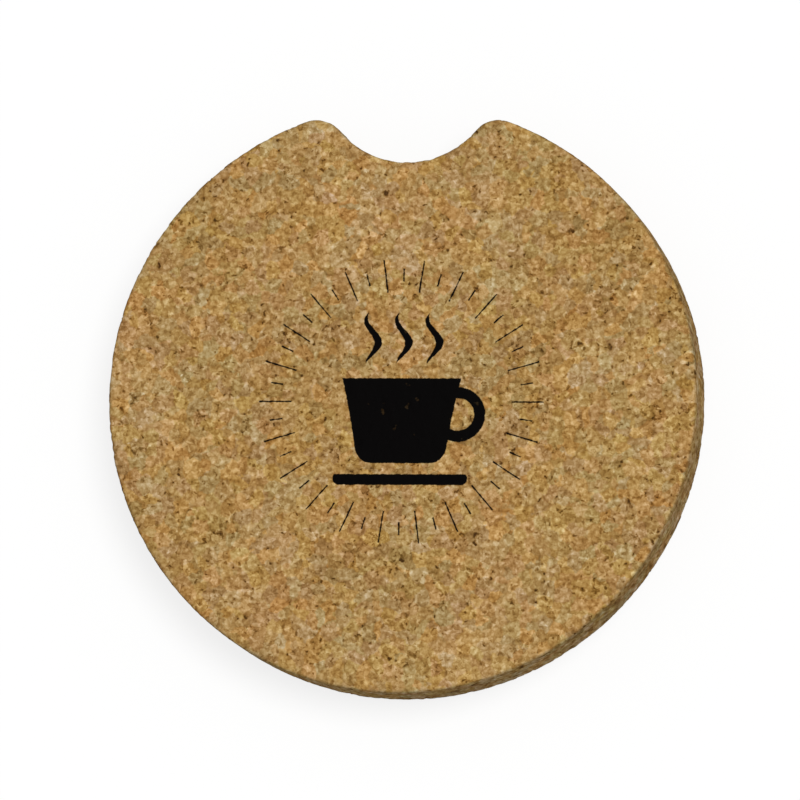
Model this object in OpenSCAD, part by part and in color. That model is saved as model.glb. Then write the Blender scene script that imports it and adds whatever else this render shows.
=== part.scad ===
// Cork coaster for a car's cup holder: one disc, die-cut from a sheet of
// agglomerated cork, with a finger notch in its rim to lift it out by.
// The origin is at the centre of the underside, +Z is up and the notch is at +Y.

/* [Disc] */
// Diameter of the disc
disc_d = 65; // [55:1:100]
// Thickness of the cork sheet
disc_t = 8; // [4:0.5:12]
// Radius that handling wears on the edges of both faces
edge_r = 0.4; // [0.2:0.1:0.8]

/* [Finger notch] */
// Radius of the hollow for the fingertip
hollow_r = 10; // [8:0.5:12]
// Depth of the notch, from the disc's rim to the bottom of the hollow
notch_depth = 6.5; // [4:0.5:8]
// Radius of the rounded shoulders beside the hollow
shoulder_r = 3.2; // [2:0.1:5]

/* [Hidden] */
$fn = 180;

disc_r = disc_d / 2;
// The outline is three curves that run into each other: the rim, a shoulder that
// touches the rim from inside, and the hollow that touches the shoulder from outside.
// Their centres are the corners of a triangle with these sides.
disc_to_shoulder = disc_r - shoulder_r;
shoulder_to_hollow = shoulder_r + hollow_r;
disc_to_hollow = disc_r - notch_depth + hollow_r;
// Centres of the hollow and of the shoulder on the +X side
hollow_at = [0, disc_to_hollow];
shoulder_y = (pow(disc_to_shoulder, 2) - pow(shoulder_to_hollow, 2) + pow(disc_to_hollow, 2))
    / (2 * disc_to_hollow);
shoulder_at = [sqrt(pow(disc_to_shoulder, 2) - pow(shoulder_y, 2)), shoulder_y];
// How far a shape that cuts runs past what it cuts
overrun = disc_t / 4;
// Step from the rim and the hollow in to a shoulder's curve, too small to feel, so that
// the shoulder ends on a step and not on two curves that only touch
seam = 0.005;

// The sheet's section out to a radius, with the corners of its edge worn round
module worn_section(r) {
    translate([0, edge_r]) square([r, disc_t - 2 * edge_r]);
    square([r - edge_r, disc_t]);
    for (z = [edge_r, disc_t - edge_r])
        translate([r - edge_r, z]) circle(edge_r);
}

module worn_disc(r) {
    rotate_extrude() worn_section(r);
}

// What the hollow takes out of the sheet, flared where its edges are worn round
module hollow() {
    mouth_r = hollow_r + edge_r;
    translate(hollow_at) rotate_extrude() difference() {
        translate([0, -overrun]) square([mouth_r, disc_t + 2 * overrun]);
        translate([hollow_r, edge_r]) square([2 * edge_r, disc_t - 2 * edge_r]);
        for (z = [edge_r, disc_t - edge_r])
            translate([mouth_r, z]) circle(edge_r);
    }
}

// The corner of the sheet between the two places where a shoulder's curve ends, as
// seen from its centre, and on past the rim
module shoulder_corner(side) {
    to_rim = shoulder_at / disc_to_shoulder;
    to_hollow = (hollow_at - shoulder_at) / shoulder_to_hollow;
    reach = 2 * shoulder_r;
    translate([0, 0, -overrun]) linear_extrude(disc_t + 2 * overrun)
        polygon([for (p = [[0, 0], reach * to_rim, reach * to_hollow])
            [side * (shoulder_at.x + p.x), shoulder_at.y + p.y]]);
}

// What is stamped away of that corner, outside the shoulder's curve
module beyond_shoulder(side) {
    difference() {
        shoulder_corner(side);
        translate([side * shoulder_at.x, shoulder_at.y]) worn_disc(shoulder_r - seam);
    }
}

module cork_disc() {
    color("#a98553") difference() {
        worn_disc(disc_r);
        hollow();
        for (side = [-1, 1]) beyond_shoulder(side);
    }
}

cork_disc();
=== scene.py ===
import bmesh
import bpy
from math import atan2, cos, pi, radians, sin, sqrt
from mathutils import Matrix, Vector


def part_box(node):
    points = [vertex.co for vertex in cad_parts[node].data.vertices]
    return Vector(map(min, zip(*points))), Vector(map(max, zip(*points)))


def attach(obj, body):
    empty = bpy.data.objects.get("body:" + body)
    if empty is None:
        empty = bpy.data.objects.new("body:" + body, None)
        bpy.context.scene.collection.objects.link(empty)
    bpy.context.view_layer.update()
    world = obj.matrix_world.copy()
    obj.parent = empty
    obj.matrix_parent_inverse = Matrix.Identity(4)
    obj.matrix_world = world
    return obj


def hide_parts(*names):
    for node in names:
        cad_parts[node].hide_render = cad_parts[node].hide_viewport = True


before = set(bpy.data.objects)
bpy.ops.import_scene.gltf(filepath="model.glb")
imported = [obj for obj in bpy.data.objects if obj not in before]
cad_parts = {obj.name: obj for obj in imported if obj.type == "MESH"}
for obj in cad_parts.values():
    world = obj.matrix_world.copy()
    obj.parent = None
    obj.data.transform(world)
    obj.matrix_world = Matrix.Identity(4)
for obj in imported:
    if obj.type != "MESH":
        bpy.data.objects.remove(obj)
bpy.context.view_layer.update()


# Outline of the disc
# A steel-rule die stamps the disc out of the sheet in one blow, with the finger notch
# in its rim. The rim, the two shoulders and the hollow run into each other as arcs.

MM = 0.001
lowest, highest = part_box("cork_disc")
DISC_R = -lowest.y
DISC_T = highest.z
HOLLOW_R = 10 * MM
NOTCH_DEPTH = 6.5 * MM
SHOULDER_R = 3.2 * MM
# Length of the straight pieces that the arcs are made of
ARC_STEP = 0.3 * MM

# The centres of the disc, of a shoulder and of the hollow are the corners of a
# triangle with these sides
disc_to_shoulder = DISC_R - SHOULDER_R
shoulder_to_hollow = SHOULDER_R + HOLLOW_R
disc_to_hollow = DISC_R - NOTCH_DEPTH + HOLLOW_R
shoulder_y = (disc_to_shoulder**2 - shoulder_to_hollow**2 + disc_to_hollow**2) / (
    2 * disc_to_hollow
)
shoulder_x = sqrt(disc_to_shoulder**2 - shoulder_y**2)
to_rim = atan2(shoulder_y, shoulder_x)
to_hollow = atan2(disc_to_hollow - shoulder_y, -shoulder_x)
# Centre, radius and turn of each arc, clockwise as seen from above, from the place
# where the shoulder on the +X side runs into the rim
arcs = [
    ((0, 0), DISC_R, -(pi + 2 * to_rim)),
    ((-shoulder_x, shoulder_y), SHOULDER_R, to_rim - to_hollow),
    ((0, disc_to_hollow), HOLLOW_R, 2 * to_hollow - pi),
    ((shoulder_x, shoulder_y), SHOULDER_R, to_rim - to_hollow),
]

die = bmesh.new()
tip = die.verts.new((DISC_R * cos(to_rim), DISC_R * sin(to_rim), 0))
for (x, y), r, turn in arcs:
    steps = round(abs(turn) * r / ARC_STEP)
    swept = bmesh.ops.spin(
        die, geom=[tip], cent=(x, y, 0), axis=(0, 0, 1), angle=turn, steps=steps
    )
    tip = next(v for v in swept["geom_last"] if isinstance(v, bmesh.types.BMVert))
bmesh.ops.remove_doubles(die, verts=die.verts[:], dist=ARC_STEP / 10)


# Cork disc
# One solid disc of agglomerated cork: granules of bark pressed together with a binder
# into a block, which is sliced into sheets. The slice and the die cut the granules open,
# so that their colours, the dark bark between them and small voids show on every side.

# How far the edges are worn round
WORN = 0.25 * MM
# Side of the cells that the mesh is made even with, half as wide as a granule
VOXEL = 0.31 * MM
# The pattern's sizes are in millimetres: the width of a granule and of a cluster of
# like granules, and the width and reach of the tearing and pressing that bend them
GRANULE = 0.6
CLUSTER = 1.4
TORN = 0.9
TORN_BY = 1.3
PRESSED = 0.77
PRESSED_BY = 0.9
# The seams between clusters and the cracks between granules are hairlines, too fine
# to show, so they are drawn this wide
SEAM_W = 0.126
CRACK_W = 0.078
# Spacing of the points, the share of them left empty, radius of a blot, its soft rim
VOIDS = (1.3, 0.6, 0.3, 0.1)
# How much the die shortens the granules' height along the wall as the pattern reads it,
# so that they look longer there than across
WALL_DRAG = 0.7


def add(tree, kind, *values, **settings):
    """Adds a node and returns it. A setting is a property of the node or else one of its
    inputs, and the values go to the inputs in order. A value that is a node is linked
    from its first output in use, and a socket from itself."""
    node = tree.nodes.new(kind)
    inputs = {}
    for name, value in settings.items():
        if hasattr(node, name):
            setattr(node, name, value)
        else:
            inputs[name] = value
    in_use = [socket for socket in node.inputs if socket.enabled]
    targets = list(zip(in_use, values)) + [(node.inputs[n], v) for n, v in inputs.items()]
    for target, value in targets:
        if isinstance(value, bpy.types.Node):
            value = next(socket for socket in value.outputs if socket.enabled)
        if isinstance(value, bpy.types.NodeSocket):
            tree.links.new(value, target)
        elif value is not None:
            target.default_value = value
    return node


def blots(tree, place, spacing, empty, radius, soft):
    """Round blots about scattered points, 1 inside. The empty share of the points has
    none, half of the others have the given radius, and the rest have less."""
    points = add(tree, "ShaderNodeTexVoronoi", Vector=place, Scale=1 / spacing)
    chance = add(tree, "ShaderNodeSeparateXYZ", points.outputs["Color"])
    full = (1 + empty) / 2
    size = add(tree, "ShaderNodeMapRange", chance, empty, full, 0.0, radius / spacing)
    inside = add(tree, "ShaderNodeMath", size, points, operation="SUBTRACT")
    return add(tree, "ShaderNodeMapRange", inside, 0.0, soft / spacing, 0.0, 1.0)


def cells(tree, place, width, line):
    """Cells of random shape: three random numbers for each, and the lines between them."""
    cell = add(tree, "ShaderNodeTexVoronoi", Vector=place, Scale=1 / width)
    gap = add(
        tree, "ShaderNodeTexVoronoi", Vector=place, Scale=1 / width, feature="DISTANCE_TO_EDGE"
    )
    chances = add(tree, "ShaderNodeSeparateXYZ", cell.outputs["Color"]).outputs
    return chances, add(tree, "ShaderNodeMapRange", gap, 0.0, line / width, 1.0, 0.0)


def cork_grain(tree, place, cut):
    """The pattern of the granules at a place in metres, for the relief and for the
    colours. Where cut is over a half, the die has dragged them out from top to bottom."""
    at = add(tree, "ShaderNodeVectorMath", place, 1 / MM, operation="SCALE")
    high = add(tree, "ShaderNodeSeparateXYZ", at).outputs[2]
    drag = WALL_DRAG - 1
    lift = add(
        tree, "ShaderNodeMath", high, drag, -drag * DISC_T / MM, operation="MULTIPLY_ADD"
    )
    walled = add(tree, "ShaderNodeMath", cut, 0.5, operation="GREATER_THAN")
    lift = add(tree, "ShaderNodeMath", lift, walled, operation="MULTIPLY")
    lift = add(tree, "ShaderNodeCombineXYZ", 0.0, 0.0, lift)
    at = add(tree, "ShaderNodeVectorMath", at, lift, operation="ADD")
    bends = []
    for width, reach, detail in ((TORN, TORN_BY, 3.0), (PRESSED, PRESSED_BY, 1.0)):
        bend = add(tree, "ShaderNodeTexNoise", Vector=at, Scale=1 / width, Detail=detail)
        bend = bend.outputs["Color"]
        reach = (reach, reach, reach)
        bends.append(
            add(tree, "ShaderNodeVectorMath", bend, reach, at, operation="MULTIPLY_ADD")
        )
    bent, pressed = bends
    cluster, seam = cells(tree, pressed, CLUSTER, SEAM_W)
    granule, crack = cells(tree, bent, GRANULE, CRACK_W)
    return {
        "at": at,
        "bent": bent,
        "cluster": cluster,
        "granule": granule,
        "seam": seam,
        "crack": crack,
        "void": blots(tree, bent, *VOIDS),
    }


bmesh.ops.contextual_create(die, geom=die.edges[:])
bmesh.ops.recalc_face_normals(die, faces=die.faces[:])
sheet = bmesh.ops.extrude_face_region(die, geom=die.faces[:], use_keep_orig=True)
raised = [v for v in sheet["geom"] if isinstance(v, bmesh.types.BMVert)]
bmesh.ops.translate(die, vec=(0, 0, DISC_T), verts=raised)
bmesh.ops.recalc_face_normals(die, faces=die.faces[:])
bmesh.ops.bevel(
    die,
    geom=[e for e in die.edges if abs(e.verts[0].co.z - e.verts[1].co.z) < WORN],
    offset=WORN,
    offset_type="OFFSET",
    segments=3,
    profile=0.5,
    affect="EDGES",
    material=-1,
)
stamped = bpy.data.meshes.new("cork_disc_stamped")
die.to_mesh(stamped)
die.free()
disc = bpy.data.objects.new("cork_disc_granules", stamped)
bpy.context.scene.collection.objects.link(disc)

# The relief, in millimetres: granules cut less deep or deeper, the seams between the
# clusters, and the voids. On the wall it is this share as deep, and the wall swells
# this much, as cork springs back from the die. At the edges granules crumble away.
WALL_SHARE = 0.5
WALL_SWELL = 0.095
CRUMBLED = 0.22
relief = bpy.data.node_groups.new("Cork granules", "GeometryNodeTree")
for way in ("INPUT", "OUTPUT"):
    relief.interface.new_socket("Geometry", in_out=way, socket_type="NodeSocketGeometry")
shape = add(relief, "NodeGroupInput")
normal = add(relief, "GeometryNodeInputNormal")
upright = add(relief, "ShaderNodeSeparateXYZ", normal).outputs[2]
upright = add(relief, "ShaderNodeMath", upright, operation="ABSOLUTE")
# 1 on the wall, which the die has cut, and 0 on the faces
cut = add(relief, "ShaderNodeMapRange", upright, 0.35, 0.75, 1.0, 0.0)
# 1 where the worn edge leans halfway, and 0 on the wall and the faces
near_edge = add(relief, "ShaderNodeMath", upright, 2.0, -1.0, operation="MULTIPLY_ADD")
near_edge = add(relief, "ShaderNodeMath", near_edge, operation="ABSOLUTE")
near_edge = add(relief, "ShaderNodeMath", 1.0, near_edge, operation="SUBTRACT")
near_edge = add(relief, "GeometryNodeBlurAttribute", near_edge, 2)
shape = add(relief, "GeometryNodeStoreNamedAttribute", shape, None, "die_cut", cut)
grain = cork_grain(relief, add(relief, "GeometryNodeInputPosition"), cut)
depth = 0.0
for pattern, mm in (
    (grain["cluster"][2], 0.06),
    (grain["granule"][2], 0.05),
    (grain["seam"], 0.04),
    (grain["void"], 0.25),
):
    depth = add(relief, "ShaderNodeMath", pattern, mm, depth, operation="MULTIPLY_ADD")
share = add(relief, "ShaderNodeMapRange", cut, 0.0, 1.0, 1.0, WALL_SHARE)
depth = add(relief, "ShaderNodeMath", depth, share, operation="MULTIPLY")
depth = add(relief, "ShaderNodeMath", cut, -WALL_SWELL, depth, operation="MULTIPLY_ADD")
# The loosest granules are the ones that crumble
loose = add(relief, "ShaderNodeMapRange", grain["granule"][0], 0.6, 1.0, 0.0, CRUMBLED)
depth = add(relief, "ShaderNodeMath", loose, near_edge, depth, operation="MULTIPLY_ADD")
depth = add(relief, "ShaderNodeMath", depth, -MM, operation="MULTIPLY")
sunk = add(relief, "ShaderNodeVectorMath", normal, depth, operation="SCALE")
add(relief, "NodeGroupOutput", add(relief, "GeometryNodeSetPosition", shape, Offset=sunk))

remesh = disc.modifiers.new("Even mesh", "REMESH")
remesh.mode = "VOXEL"
remesh.voxel_size = VOXEL
disc.modifiers.new("Cork granules", "NODES").node_group = relief
cut_open = disc.evaluated_get(bpy.context.evaluated_depsgraph_get())
disc_mesh = bpy.data.meshes.new_from_object(cut_open)
disc.modifiers.clear()
disc.data = disc_mesh
disc_mesh.name = "cork_disc_granules"
disc_mesh.shade_smooth()


def linear(hex_colour):
    """An sRGB colour as linear light."""
    parts = [int(hex_colour[i : i + 2], 16) / 255 for i in (1, 3, 5)]
    return [c / 12.92 if c <= 0.04045 else ((c + 0.055) / 1.055) ** 2.4 for c in parts] + [1.0]


# Cork, sliced with a band knife and left bare: a dull, dry surface with granules from
# straw to rust, dark bits of bark, pale chips, and no gloss at any angle. Its own
# cells are 0.04 mm wide, too fine to show, so the grit is drawn coarser.
CORK_ROUGHNESS = 0.95
CORK_SPECULAR = 0.02
# Widths of the marks, and of the patches that they are in, in millimetres
GRIT = 0.53
VEIN = 0.77
VEIN_PATCH = 0.67
SLIVER = 1.1
FLAKE = 0.67
BARKY_PATCH = 2.4
BATCH = 11
SMEAR = 0.83
# How much the pattern shortens a smear's height, so that it looks longer than wide
SMEAR_DRAG = 0.45
# Spacing, empty share, radius and soft rim, as for the voids
BARK = (0.7, 0.5, 0.23, 0.12)
CHIPS = (1.3, 0.6, 0.3, 0.08)
# From the darkest bark to the palest chip
CORK_TONES = {
    0.0: "#4a3016",
    0.12: "#6a4a20",
    0.273: "#856132",
    0.407: "#9a7541",
    0.52: "#aa8651",
    0.623: "#b89662",
    0.733: "#c7a775",
    1.0: "#e6cfa6",
}

cork = bpy.data.materials.new("Agglomerated cork, sliced")
cork.use_nodes = True
tree = cork.node_tree
tree.nodes.clear()
cut = add(tree, "ShaderNodeAttribute", attribute_name="die_cut").outputs["Fac"]
object_place = add(tree, "ShaderNodeTexCoord").outputs["Object"]
grain = cork_grain(tree, object_place, cut)
at, bent = grain["at"], grain["bent"]
grit = add(tree, "ShaderNodeTexNoise", Vector=at, Scale=1 / GRIT, Detail=1.0)
# Thin dark veins in some patches, and pale slivers in the others
patch = add(tree, "ShaderNodeTexNoise", Vector=at, Scale=1 / VEIN_PATCH, Detail=1.0)
patch = add(tree, "ShaderNodeMapRange", patch, 0.5, 0.6, 0.0, 1.0)
others = add(tree, "ShaderNodeMath", 1.0, patch, operation="SUBTRACT")
lines = []
for width, detail, where in ((VEIN, 2.0, patch), (SLIVER, 1.0, others)):
    line = add(tree, "ShaderNodeTexNoise", Vector=bent, Scale=1 / width, Detail=detail)
    line = add(tree, "ShaderNodeMath", line, 0.5, operation="SUBTRACT")
    line = add(tree, "ShaderNodeMath", line, operation="ABSOLUTE")
    line = add(tree, "ShaderNodeMapRange", line, 0.0, 0.02, 1.0, 0.0)
    lines.append(add(tree, "ShaderNodeMath", line, where, operation="MULTIPLY"))
veins, slivers = lines
# Flakes of dark outer bark, a few together
flakes = add(tree, "ShaderNodeTexNoise", Vector=bent, Scale=1 / FLAKE, Detail=2.0)
flakes = add(tree, "ShaderNodeMapRange", flakes, 0.44, 0.37, 0.0, 1.0)
barky = add(tree, "ShaderNodeTexNoise", Vector=at, Scale=1 / BARKY_PATCH, Detail=1.0)
barky = add(tree, "ShaderNodeMapRange", barky, 0.57, 0.67, 0.0, 1.0)
flakes = add(tree, "ShaderNodeMath", flakes, barky, operation="MULTIPLY")
# The block's granules weren't mixed quite evenly
batch = add(tree, "ShaderNodeTexNoise", Vector=at, Scale=1 / BATCH, Detail=2.0)
batch = add(tree, "ShaderNodeSeparateXYZ", batch.outputs["Color"]).outputs
# On the wall the die has pressed some of the cork darker, in smears from top to bottom
smears = add(tree, "ShaderNodeVectorMath", at, (1, 1, SMEAR_DRAG), operation="MULTIPLY")
smears = add(tree, "ShaderNodeTexNoise", Vector=smears, Scale=1 / SMEAR, Detail=1.0)
smears = add(tree, "ShaderNodeMath", smears, 0.5, operation="SUBTRACT")
smears = add(tree, "ShaderNodeMath", smears, cut, operation="MULTIPLY")
# How pale the cork is: 0 for the darkest bark and 1 for the palest chip
tone = -0.1
for pattern, weight in (
    (grain["granule"][0], 0.26),
    (grain["cluster"][2], 0.08),
    (batch[0], 0.2),
    (grit, 0.74),
    (grain["crack"], -0.08),
    (veins, -0.2),
    (slivers, 0.13),
    (flakes, -0.33),
    (blots(tree, bent, *BARK), -0.36),
    (blots(tree, bent, *CHIPS), 0.29),
    # The voids are painted darker: painted shade in the holes, besides their sunk relief
    (grain["void"], -0.4),
    (smears, 0.7),
):
    tone = add(tree, "ShaderNodeMath", pattern, weight, tone, operation="MULTIPLY_ADD")
colour = add(tree, "ShaderNodeValToRGB", tone)
elements = colour.color_ramp.elements
for place, hex_colour in CORK_TONES.items():
    element = elements.new(place) if 0 < place < 1 else elements[-1 if place else 0]
    element.color = linear(hex_colour)
# Clusters run from greyish to ochre, and they and the batches from olive to rust. The
# wall is greyer, as the die has rubbed it, and darker: partly that rub and partly
# painted shade for a side that faces away from the light.
# 1 on the wall, where its colour is greyed by the die and darkened with painted shade
wall_rub_and_shade = add(tree, "ShaderNodeMapRange", cut, 0.25, 0.75, 0.0, 1.0)
for amount, least, span in (
    (grain["cluster"][0], (0.94, 1.0, 1.175), (0.12, 0.0, -0.35)),
    (grain["cluster"][1], (0.97, 1.035, 1.0), (0.06, -0.07, 0.0)),
    (batch[1], (0.969, 1.034, 1.0), (0.062, -0.067, 0.0)),
    (wall_rub_and_shade, (1.0, 1.0, 1.0), (-0.145, -0.115, -0.08)),
):
    tint = add(tree, "ShaderNodeVectorMath", amount, span, least, operation="MULTIPLY_ADD")
    colour = add(tree, "ShaderNodeVectorMath", colour, tint, operation="MULTIPLY")
# Height of the finest relief, in millimetres
height = 0.0
for pattern, mm in ((grain["granule"][2], -0.04), (grain["crack"], -0.02), (grit, 0.1)):
    height = add(tree, "ShaderNodeMath", pattern, mm, height, operation="MULTIPLY_ADD")
bump = add(tree, "ShaderNodeBump", Strength=0.5, Distance=MM, Height=height)
shader = add(tree, "ShaderNodeBsdfPrincipled", colour, Roughness=CORK_ROUGHNESS, Normal=bump)
shader.inputs["Specular IOR Level"].default_value = CORK_SPECULAR
add(tree, "ShaderNodeOutputMaterial", shader)

disc_mesh.materials.clear()
disc_mesh.materials.append(cork)
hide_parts("cork_disc")
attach(disc, "root")


# Print
# A steaming cup in a ring of rays, screen printed in black ink on the one face. The ink
# is a film that soaks in between the granules, so it is drawn in the cork's material.

INK = "#050404"
INK_ROUGHNESS = 0.7
# The sizes are in millimetres, from the middle of the print
PRINT_AT = (0.0, -0.5, 0.0)
# Middle, half sizes between the corners' centres, and radius of the corners
CUP = ((0, -1.2, 0), (4.2, 3.8, 0), 1.8)
SAUCER = ((0, -8.6, 0), (9.1, 0, 0), 0.6)
TAPER = 0.035
BRIM_Y = 2.6
HANDLE_AT = (6.3, -1.4, 0)
HANDLE_R = 2.4
HANDLE_W = 1.24
WISPS = 3
WISP_GAP = 3.4
WISP_Y = 7.0
WISP_W = 0.9
WISP_LENGTH = 5.7
WISP_SWAY = 0.7
WISP_WAVE = 5.2
RAYS = 44
RAY_W = 0.17
RAY_RING_R = 14.0
# Half the length of a ray, and how much more or less it is
RAY_REACH = 1.25
RAY_REACH_CHANGE = 0.55
# How far the ink bleeds into the cork, and how wide its edge is
BLEED = 0.18
EDGE_W = 0.08

spot = add(tree, "ShaderNodeVectorMath", object_place, 1 / MM, operation="SCALE")
above = add(tree, "ShaderNodeSeparateXYZ", spot).outputs[2]
spot = add(tree, "ShaderNodeVectorMath", spot, PRINT_AT, operation="SUBTRACT")
spot = add(tree, "ShaderNodeVectorMath", spot, (1, 1, 0), operation="MULTIPLY")
x, y, _ = add(tree, "ShaderNodeSeparateXYZ", spot).outputs

# How far a place is from the ink's edge, below 0 inside: the cup's body, which tapers
# downwards and is cut off at the brim, and its saucer
shapes = []
taper = add(tree, "ShaderNodeMath", y, -TAPER, 1.0, operation="MULTIPLY_ADD")
taper = add(tree, "ShaderNodeCombineXYZ", taper, 1.0, 1.0)
tapered = add(tree, "ShaderNodeVectorMath", spot, taper, operation="MULTIPLY")
for middle, half, corner in (CUP, SAUCER):
    side = add(tree, "ShaderNodeVectorMath", tapered, middle, operation="SUBTRACT")
    side = add(tree, "ShaderNodeVectorMath", side, operation="ABSOLUTE")
    side = add(tree, "ShaderNodeVectorMath", side, half, operation="SUBTRACT")
    side = add(tree, "ShaderNodeVectorMath", side, (0, 0, 0), operation="MAXIMUM")
    side = add(tree, "ShaderNodeVectorMath", side, operation="LENGTH")
    shapes.append(add(tree, "ShaderNodeMath", side, corner, operation="SUBTRACT"))
brim = add(tree, "ShaderNodeMath", y, BRIM_Y, operation="SUBTRACT")
shapes[0] = add(tree, "ShaderNodeMath", shapes[0], brim, operation="MAXIMUM")
# Its handle
handle = add(tree, "ShaderNodeVectorMath", spot, HANDLE_AT, operation="DISTANCE")
handle = add(tree, "ShaderNodeMath", handle, HANDLE_R, operation="SUBTRACT")
handle = add(tree, "ShaderNodeMath", handle, operation="ABSOLUTE")
shapes.append(add(tree, "ShaderNodeMath", handle, HANDLE_W / 2, operation="SUBTRACT"))
# The wisps of steam, pointed at both ends
wave = add(tree, "ShaderNodeMath", y, 2 * pi / WISP_WAVE, operation="MULTIPLY")
wave = add(tree, "ShaderNodeMath", wave, operation="SINE")
wisp = add(tree, "ShaderNodeMath", x, WISP_GAP / 2, -WISP_GAP / 2, operation="WRAP")
wisp = add(tree, "ShaderNodeMath", wave, -WISP_SWAY, wisp, operation="MULTIPLY_ADD")
wisp = add(tree, "ShaderNodeMath", wisp, operation="ABSOLUTE")
rise = add(tree, "ShaderNodeMath", y, WISP_Y, operation="SUBTRACT")
rise = add(tree, "ShaderNodeMath", rise, rise, operation="MULTIPLY")
narrowing = 2 * WISP_W / WISP_LENGTH**2
wisp = add(tree, "ShaderNodeMath", rise, narrowing, wisp, operation="MULTIPLY_ADD")
wisp = add(tree, "ShaderNodeMath", wisp, WISP_W / 2, operation="SUBTRACT")
aside = add(tree, "ShaderNodeMath", x, operation="ABSOLUTE")
aside = add(tree, "ShaderNodeMath", aside, WISPS * WISP_GAP / 2, operation="SUBTRACT")
shapes.append(add(tree, "ShaderNodeMath", wisp, aside, operation="MAXIMUM"))
# The rays, long and short in turn
away = add(tree, "ShaderNodeVectorMath", spot, operation="LENGTH")
angle = add(tree, "ShaderNodeMath", y, x, operation="ARCTAN2")
reach = add(tree, "ShaderNodeMath", angle, RAYS / 2, operation="MULTIPLY")
reach = add(tree, "ShaderNodeMath", reach, operation="COSINE")
reach = add(
    tree, "ShaderNodeMath", reach, RAY_REACH_CHANGE, RAY_REACH, operation="MULTIPLY_ADD"
)
across = add(tree, "ShaderNodeMath", angle, pi / RAYS, -pi / RAYS, operation="WRAP")
across = add(tree, "ShaderNodeMath", across, operation="ABSOLUTE")
across = add(tree, "ShaderNodeMath", across, away, operation="MULTIPLY")
across = add(tree, "ShaderNodeMath", across, RAY_W / 2, operation="SUBTRACT")
along = add(tree, "ShaderNodeMath", away, RAY_RING_R, operation="SUBTRACT")
along = add(tree, "ShaderNodeMath", along, operation="ABSOLUTE")
along = add(tree, "ShaderNodeMath", along, reach, operation="SUBTRACT")
shapes.append(add(tree, "ShaderNodeMath", across, along, operation="MAXIMUM"))

# The ink bleeds a little, is on the upper face alone, and is thin in the voids
nearest = shapes[0]
for shape in shapes[1:]:
    nearest = add(tree, "ShaderNodeMath", nearest, shape, operation="MINIMUM")
bleed = add(tree, "ShaderNodeMath", grit, 0.5, operation="SUBTRACT")
bleed = add(tree, "ShaderNodeMath", bleed, BLEED, nearest, operation="MULTIPLY_ADD")
ink = add(tree, "ShaderNodeMapRange", bleed, -EDGE_W / 2, EDGE_W / 2, 1.0, 0.0)
for keep in (
    add(tree, "ShaderNodeMath", above, DISC_T / MM / 2, operation="GREATER_THAN"),
    add(tree, "ShaderNodeMath", cut, 0.5, operation="LESS_THAN"),
    add(tree, "ShaderNodeMath", grain["void"], -0.05, 1.0, operation="MULTIPLY_ADD"),
):
    ink = add(tree, "ShaderNodeMath", ink, keep, operation="MULTIPLY")
inked = add(tree, "ShaderNodeMix", ink, colour, linear(INK), data_type="RGBA")
tree.links.new(inked.outputs[2], shader.inputs["Base Color"])
sheen = add(tree, "ShaderNodeMapRange", ink, 0.0, 1.0, CORK_ROUGHNESS, INK_ROUGHNESS)
tree.links.new(sheen.outputs[0], shader.inputs["Roughness"])


# Floor
# A sheet of matte white paper that the coaster lies on, with no edge in view. It
# shows white, and takes the coaster's soft shadow.

FLOOR_R = 3
# How bright the paper is for the light that it throws back, so that the coaster's wall
# gets no more of it than on a table, and how much its shadow is paled where it is seen
PAPER = 0.4
PALED = 0.8
floor_mesh = bpy.data.meshes.new("floor")
ground = bmesh.new()
bmesh.ops.create_circle(ground, cap_ends=True, radius=FLOOR_R, segments=96)
ground.to_mesh(floor_mesh)
ground.free()
floor = bpy.data.objects.new("floor", floor_mesh)
bpy.context.scene.collection.objects.link(floor)


def seen(tree):
    """1 where the camera looks, straight or by way of gloss or glass, and 0 where light
    comes from."""
    path = add(tree, "ShaderNodeLightPath").outputs
    seen_by = add(
        tree, "ShaderNodeMath", path["Is Camera Ray"], path["Is Glossy Ray"], operation="MAXIMUM"
    )
    through = path["Is Transmission Ray"]
    return add(tree, "ShaderNodeMath", seen_by, through, operation="MAXIMUM")


# Paper, matte: white wherever it is seen, with a soft shadow and no gloss
paper = bpy.data.materials.new("White paper, matte")
paper.use_nodes = True
tree = paper.node_tree
tree.nodes.clear()
looked_at = seen(tree)
white = add(tree, "ShaderNodeMapRange", looked_at, 0.0, 1.0, PAPER, 1.0)
matte = add(tree, "ShaderNodeBsdfDiffuse", white)
glow = add(tree, "ShaderNodeMath", looked_at, PALED, operation="MULTIPLY")
glowing = add(tree, "ShaderNodeEmission")
add(tree, "ShaderNodeOutputMaterial", add(tree, "ShaderNodeMixShader", glow, matte, glowing))
floor_mesh.materials.append(paper)


# Light
# A white tent all round, and one wide softbox high on the right and a little to the
# back, so that the shadow is soft and falls to the front left.

# The tent and the softbox each give a level white surface this share of full light
TENT = 0.42
SOFTBOX = 0.6
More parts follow.
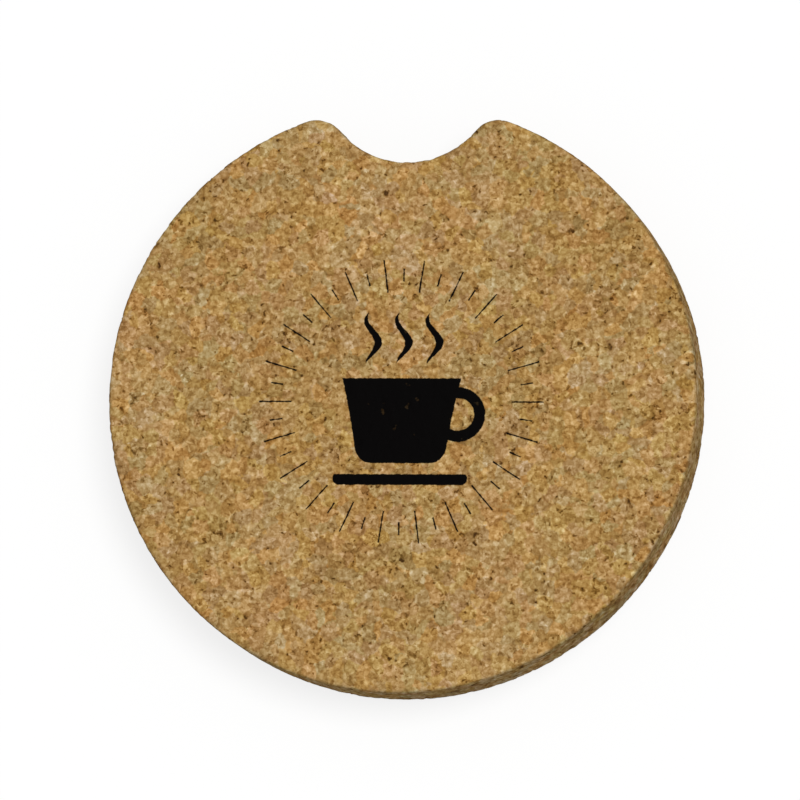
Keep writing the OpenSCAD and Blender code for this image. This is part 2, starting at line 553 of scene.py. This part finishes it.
# How wide the softbox looks from the coaster, how far it is from straight overhead,
# and how much of that is to the right and to the back
SOFTBOX_W = radians(30)
LEAN = radians(22)
TO_RIGHT = 0.9
TO_BACK = 0.44
world = bpy.data.worlds.new("Soft studio")
bpy.context.scene.world = world
world.use_nodes = True
tree = world.node_tree
tree.nodes.clear()
strength = add(tree, "ShaderNodeMapRange", seen(tree), 0.0, 1.0, TENT, 1.0)
add(tree, "ShaderNodeOutputWorld", add(tree, "ShaderNodeBackground", (1, 1, 1, 1), strength))

lamp = bpy.data.lights.new("Softbox", "SUN")
lamp.energy = SOFTBOX * pi / cos(LEAN)
lamp.angle = SOFTBOX_W
softbox = bpy.data.objects.new("Softbox", lamp)
to_lamp = Vector((TO_RIGHT * sin(LEAN), TO_BACK * sin(LEAN), cos(LEAN)))
softbox.rotation_mode = "QUATERNION"
softbox.rotation_quaternion = to_lamp.to_track_quat("Z", "Y")
bpy.context.scene.collection.objects.link(softbox)


# Camera
# A long lens almost straight above, leaning a little to the right and to the front, so
# that the wall shows at the lower right.

DISTANCE = 1.645
FOCAL_LENGTH = 675
SENSOR_W = 36
ROLL = radians(0.15)
# From the middle of the face towards the camera
TO_CAMERA = (0.1473, -0.1226, 0.9815)
# Where the middle of the picture lies beside the middle of the face
AIM_RIGHT = -0.15 * MM
AIM_UP = -0.32 * MM
back = Vector(TO_CAMERA).normalized()
right = (Vector((1, 0, 0)) - back * back.x).normalized()
up = back.cross(right)
right, up = right * cos(ROLL) + up * sin(ROLL), up * cos(ROLL) - right * sin(ROLL)
lens = bpy.data.cameras.new("Camera")
lens.lens = FOCAL_LENGTH
lens.sensor_width = SENSOR_W
lens.clip_start = 0.1
lens.clip_end = 20
camera = bpy.data.objects.new("Camera", lens)
place = Vector((0, 0, DISC_T)) + back * DISTANCE + right * AIM_RIGHT + up * AIM_UP
camera.matrix_world = Matrix.Translation(place) @ Matrix((right, up, back)).transposed().to_4x4()
bpy.context.scene.collection.objects.link(camera)
bpy.context.scene.camera = camera
bpy.context.scene.view_settings.view_transform = "Standard"
